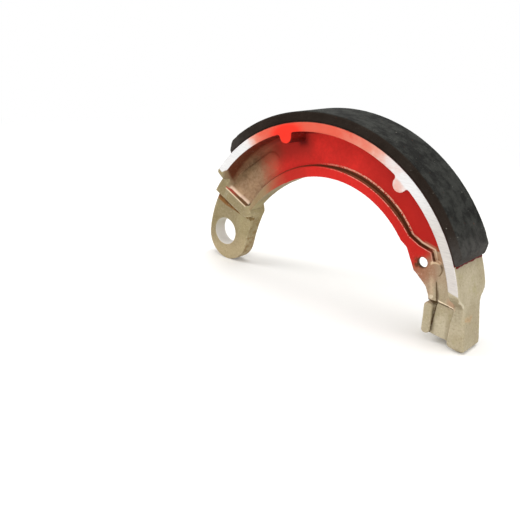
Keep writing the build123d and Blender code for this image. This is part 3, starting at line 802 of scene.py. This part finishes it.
def adhesive_finish():
    """Cured dark red adhesive, brown where it is only a film."""
    f = ShoeFinish("cured_adhesive")
    lump = f.noise(1.5)
    colour = f.paint(*ADHESIVE, lump.rise(0.4, 0.65))
    film = f.angle.rise(LINING_ENDS[0] + 0.3, LINING_ENDS[0] + 0.9) * f.angle.rise(
        LINING_ENDS[1] - 0.3, LINING_ENDS[1] - 0.9)
    colour = f.paint(colour, ADHESIVE_FILM, film)
    return f.finish(
        base_color=colour,
        roughness=f.blend(0.45, 0.65, lump),
        specular=0.1,
        normal=f.bump(lump, 0.2),
    )


# --- pieces -----------------------------------------------------------------------------
def put(name, mesh, material, node):
    """Links a piece, gives it its finish and lets it stand for its CAD node."""
    piece = bpy.data.objects.new(name, mesh)
    scene.collection.objects.link(piece)
    mesh.materials.clear()
    mesh.materials.append(material)
    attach(piece, "root")
    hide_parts(node)
    return piece


def evenly_meshed(node, size):
    """Even mesh of small squares over a merged copy of a CAD node."""
    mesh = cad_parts[node].data.copy()
    work = bmesh.new()
    work.from_mesh(mesh)
    bmesh.ops.remove_doubles(work, verts=work.verts, dist=SAME_PLACE * MM)
    work.to_mesh(mesh)
    work.free()
    return with_modifier(
        mesh, "REMESH", mode="VOXEL", voxel_size=size * MM, use_smooth_shade=True)


def carried(mesh):
    """Object that carries a mesh while a modifier works on it."""
    carrier = bpy.data.objects.new("carrier", mesh)
    scene.collection.objects.link(carrier)
    return carrier


def taken_from(carrier):
    """The plain mesh that a carrier's modifier makes; the carrier goes."""
    graph = bpy.context.evaluated_depsgraph_get()
    made = bpy.data.meshes.new_from_object(carrier.evaluated_get(graph))
    bpy.data.objects.remove(carrier)
    return made


def with_modifier(mesh, kind, **settings):
    """New mesh: what one modifier makes of this one."""
    carrier = carried(mesh)
    modifier = carrier.modifiers.new("made", kind)
    for key, value in settings.items():
        setattr(modifier, key, value)
    made = taken_from(carrier)
    bpy.data.meshes.remove(mesh)
    return made


def corners(mesh, what):
    """Three numbers for each corner of a mesh: its place or its facing."""
    flat = np.empty(len(mesh.vertices) * 3, np.float32)
    mesh.vertices.foreach_get(what, flat)
    return flat.reshape(-1, 3)


def places(mesh):
    """Corner places of a mesh, in millimetres."""
    return corners(mesh, "co").astype(np.float64) / MM


def store(mesh, points):
    """Puts a mesh's corners at these places, in millimetres."""
    mesh.vertices.foreach_set("co", (points * MM).astype(np.float32).ravel())
    mesh.update()


def round_off(mesh, points, rounds, ease):
    """Rounds edges and corners: each corner moves towards the middle of its neighbours."""
    ends = np.empty(len(mesh.edges) * 2, np.int32)
    mesh.edges.foreach_get("vertices", ends)
    a, b = ends.reshape(-1, 2).T
    count = np.bincount(a, minlength=len(points)) + np.bincount(b, minlength=len(points))
    for _ in range(rounds):
        middle = np.empty_like(points)
        for axis in range(3):
            middle[:, axis] = (
                np.bincount(a, points[b, axis], len(points))
                + np.bincount(b, points[a, axis], len(points))) / count
        points = points + (middle - points) * ease[:, None]
    return points


def true_up(mesh, points, radii, centre=DRUM):
    """Lays facetted round faces back on their true radius."""
    normals = corners(mesh, "normal")
    dx = points[:, 0] - centre[0]
    dz = points[:, 2] - centre[1]
    radius = np.hypot(dx, dz)
    along = np.abs(normals[:, 0] * dx + normals[:, 2] * dz) / radius
    for true in radii:
        close = (np.abs(radius - true) < ROUND_REACH) & (along > SQUARELY)
        scale = true / radius[close]
        points[close, 0] = centre[0] + dx[close] * scale
        points[close, 2] = centre[1] + dz[close] * scale
    return points


def thinned(mesh, points):
    """Fewer triangles on the flat faces, and how hollow each place is kept with them."""
    store(mesh, points)
    smooth = round_off(mesh, points, HOLLOW_ROUNDS, np.full(len(points), EASE))
    hollow = ((smooth - points) * corners(mesh, "normal")).sum(axis=1)
    tree = KDTree(len(points))
    for index, point in enumerate(points):
        tree.insert(point, index)
    tree.balance()
    triangles = len(mesh.loops) - 2 * len(mesh.polygons)
    if triangles > MOST_TRIANGLES:
        mesh = with_modifier(mesh, "DECIMATE", ratio=MOST_TRIANGLES / triangles)
    values = np.array([hollow[tree.find(point)[1]] for point in places(mesh)], np.float32)
    mesh.attributes.new("hollow", "FLOAT", "POINT").data.foreach_set("value", values)
    mesh.shade_smooth()
    return mesh


def make_casting():
    """The casting: rounded all over, less at the edges of the machined sides."""
    mesh = evenly_meshed("shoe_casting", CASTING_SQUARE)
    points = places(mesh)
    points = true_up(mesh, points, (SEAT_R, RIM_R, BAND_R, EDGE_R))
    points = true_up(mesh, points, (BORE_R,), centre=(0.0, 0.0))
    from_side = np.minimum(abs(points[:, 1] - SIDES[0]), abs(points[:, 1] - SIDES[1]))
    ease = np.where(from_side < CRISP_REACH, CRISP_EASE, EASE)
    mesh = thinned(mesh, round_off(mesh, points, CASTING_ROUNDS, ease))
    return put("blasted_shoe", mesh, casting_finish(), "shoe_casting")


def make_lining():
    """The lining: its outer end corners are worn round."""
    mesh = evenly_meshed("friction_lining", LINING_SQUARE)
    points = places(mesh)
    points = true_up(mesh, points, (LINING_R, SEAT_R + FILM))
    angle = np.degrees(np.arctan2(points[:, 2] - DRUM[1], points[:, 0] - DRUM[0])) - DRUM_TURN
    from_end = np.minimum(abs(angle - LINING_ENDS[0]), abs(angle - LINING_ENDS[1]))
    radius = np.hypot(points[:, 0] - DRUM[0], points[:, 2] - DRUM[1])
    worn = (from_end < WORN_END) & (radius > SEAT_R + WORN_FOOT)
    ease = np.where(worn, EASE, LINING_EASE)
    mesh = thinned(mesh, round_off(mesh, points, LINING_ROUNDS, ease))
    return put("moulded_lining", mesh, lining_finish(), "friction_lining")


def at(radius, angle, y):
    """Place on the shoe, in metres, from the drum's radius and angle."""
    turned = radians(angle + DRUM_TURN)
    return Vector((DRUM[0] + radius * cos(turned), y, DRUM[1] + radius * sin(turned))) * MM


def film_mesh():
    """Thin film under the lining: a closed curved strip."""
    steps = 120
    work = bmesh.new()
    rows = []
    for step in range(steps + 1):
        angle = LINING_ENDS[0] + (LINING_ENDS[1] - LINING_ENDS[0]) * step / steps
        rows.append([work.verts.new(at(radius, angle, y)) for radius, y in (
            (SEAT_R, SIDES[0]), (SEAT_R, SIDES[1]),
            (SEAT_R + FILM, SIDES[1]), (SEAT_R + FILM, SIDES[0]))])
    for low, high in zip(rows, rows[1:]):
        for k in range(4):
            work.faces.new((low[k], low[k - 1], high[k - 1], high[k]))
    work.faces.new(rows[0])
    work.faces.new(rows[-1][::-1])
    bmesh.ops.recalc_face_normals(work, faces=work.faces)
    mesh = bpy.data.meshes.new("adhesive_film")
    work.to_mesh(mesh)
    work.free()
    return mesh


def bead_tree():
    """Uneven bead between two places, joined to the mesh that comes in."""
    tree = bpy.data.node_groups.new("squeezed_out_bead", "GeometryNodeTree")
    for name, kind, value in (
            ("Film", "Geometry", None), ("Start", "Vector", None), ("End", "Vector", None),
            ("Away", "Vector", None), ("Thickness", "Float", 0.5), ("Lump", "Float", 2.0),
            ("Seed", "Float", 0.0), ("Finish", "Material", None)):
        socket = tree.interface.new_socket(
            name, in_out="INPUT", socket_type="NodeSocket" + kind)
        if value is not None:
            socket.default_value = value
    tree.interface.new_socket("Film", in_out="OUTPUT", socket_type="NodeSocketGeometry")
    b = Bench(tree)
    given = tree.nodes.new("NodeGroupInput")
    value = {socket.name: Value(b, socket) for socket in given.outputs if socket.name}
    line = b.node("GeometryNodeCurvePrimitiveLine", None,
                  {"Start": value["Start"], "End": value["End"]})
    line = b.node("GeometryNodeResampleCurve", None, {"Curve": line, "Count": 90})
    place = b.node("GeometryNodeInputPosition")
    scale = 1 / (value["Lump"] * MM)
    wave = b.node("ShaderNodeTexNoise", {"noise_dimensions": "4D"},
                  {"Vector": place, "W": value["Seed"], "Scale": scale, "Detail": 2.0})
    swell = b.node("ShaderNodeTexNoise", {"noise_dimensions": "4D"},
                   {"Vector": place, "W": value["Seed"] + 7.0, "Scale": scale, "Detail": 2.0})
    shift = b.node("ShaderNodeVectorMath", {"operation": "SCALE"},
                   {0: value["Away"], "Scale": (wave - 0.4) * value["Thickness"] * (2.5 * MM)})
    line = b.node("GeometryNodeSetPosition", None, {"Geometry": line, "Offset": shift})
    line = b.node("GeometryNodeSetCurveRadius", None,
                  {"Curve": line, "Radius": swell.rise(0.3, 0.75) * 1.3 + 0.5})
    ring = b.node("GeometryNodeCurvePrimitiveCircle", None,
                  {"Resolution": 10, "Radius": value["Thickness"] * MM})
    tube = b.node("GeometryNodeCurveToMesh", None,
                  {"Curve": line, "Profile Curve": ring, "Fill Caps": True})
    both = tree.nodes.new("GeometryNodeJoinGeometry")
    tree.links.new(tube.socket, both.inputs[0])
    tree.links.new(value["Film"].socket, both.inputs[0])
    whole = b.node("GeometryNodeRealizeInstances", None, {0: Value(b, both.outputs[0])})
    whole = b.node("GeometryNodeSetMaterial", None,
                   {"Geometry": whole, "Material": value["Finish"]})
    b.node("NodeGroupOutput", None, {0: whole})
    return tree


def with_bead(mesh, tree, angle, away, seed, finish):
    """The film with a bead squeezed out at one end of the lining."""
    carrier = carried(mesh)
    modifier = carrier.modifiers.new("bead", "NODES")
    modifier.node_group = tree
    seat = SEAT_R + BEAD_LIFT
    given = {
        "Start": at(seat, angle, SIDES[0] + BEAD_INSET),
        "End": at(seat, angle, SIDES[1] - BEAD_INSET),
        "Away": (at(seat, angle + away, 0.0) - at(seat, angle, 0.0)).normalized(),
        "Thickness": BEAD_THICKNESS, "Lump": BEAD_LUMP, "Seed": seed, "Finish": finish}
    for item in tree.interface.items_tree:
        if item.in_out == "INPUT" and item.name in given:
            modifier[item.identifier] = given[item.name]
    return taken_from(carrier)


def make_adhesive():
    """The film under the lining, with a bead at each end."""
    finish = adhesive_finish()
    tree = bead_tree()
    mesh = film_mesh()
    for angle, away, seed in ((LINING_ENDS[0], -1.0, 1.0), (LINING_ENDS[1], 1.0, 5.0)):
        mesh = with_bead(mesh, tree, angle, away, seed, finish)
    mesh.shade_smooth()
    return put("squeezed_adhesive", mesh, finish, "bond_adhesive")


# --- studio -----------------------------------------------------------------------------
def rays_that_see(b):
    """1 for the rays that show the background: seen directly, mirrored or refracted."""
    return b.node("ShaderNodeLightPath", out="Is Camera Ray").most(
        b.node("ShaderNodeLightPath", out="Is Glossy Ray"),
        b.node("ShaderNodeLightPath", out="Is Transmission Ray"))


def studio_floor():
    """Pale floor that keeps the shoe's shadow and turns white away from it."""
    mesh = bpy.data.meshes.new("floor")
    square = ((-1, -1), (1, -1), (1, 1), (-1, 1))
    mesh.from_pydata(
        [(x * FLOOR_REACH, y * FLOOR_REACH, FLOOR_Z * MM) for x, y in square],
        [], [(0, 1, 2, 3)])
    floor = bpy.data.objects.new("floor", mesh)
    scene.collection.objects.link(floor)
    f = Finish("studio_floor")
    seen = rays_that_see(f)
    dx = f.x - DRUM[0]
    away = ((dx * dx + f.y * f.y) ** 0.5).rise(*FLOOR_FADE)
    matt = f.node("ShaderNodeBsdfDiffuse", None, {"Color": FLOOR_PAPER})
    glow = f.node(
        "ShaderNodeEmission", None,
        {"Color": FLOOR_GLOW, "Strength": seen * FLOOR_GLOW_STRENGTH})
    near = f.node("ShaderNodeAddShader", None, {0: matt, 1: glow})
    white = f.node("ShaderNodeEmission", None, {"Color": WHITE, "Strength": 1.0})
    mesh.materials.append(f.show(
        f.node("ShaderNodeMixShader", None, {0: seen * away, 1: near, 2: white})))


def studio_light():
    """Soft even light from all round, three wide lamps and a white background."""
    world = bpy.data.worlds.new("studio")
    scene.world = world
    world.use_nodes = True
    b = Bench(world.node_tree)
    ambient = b.node("ShaderNodeBackground", None, {"Color": WHITE, "Strength": AMBIENT})
    white = b.node("ShaderNodeBackground", None, {"Color": WHITE, "Strength": 1.0})
    b.node("ShaderNodeOutputWorld", None, {"Surface": b.node(
        "ShaderNodeMixShader", None, {0: rays_that_see(b), 1: ambient, 2: white})})
    for name, place, side, power in LAMPS:
        data = bpy.data.lights.new(name, "AREA")
        data.shape = "SQUARE"
        data.size = side
        data.energy = power
        lamp = bpy.data.objects.new(name, data)
        turned = (Vector(LAMPS_AIM) - Vector(place)).to_track_quat("-Z", "Y")
        lamp.matrix_world = Matrix.Translation(place) @ turned.to_matrix().to_4x4()
        scene.collection.objects.link(lamp)


make_casting()
make_lining()
make_adhesive()
studio_floor()
studio_light()
scene.view_settings.view_transform = "Standard"
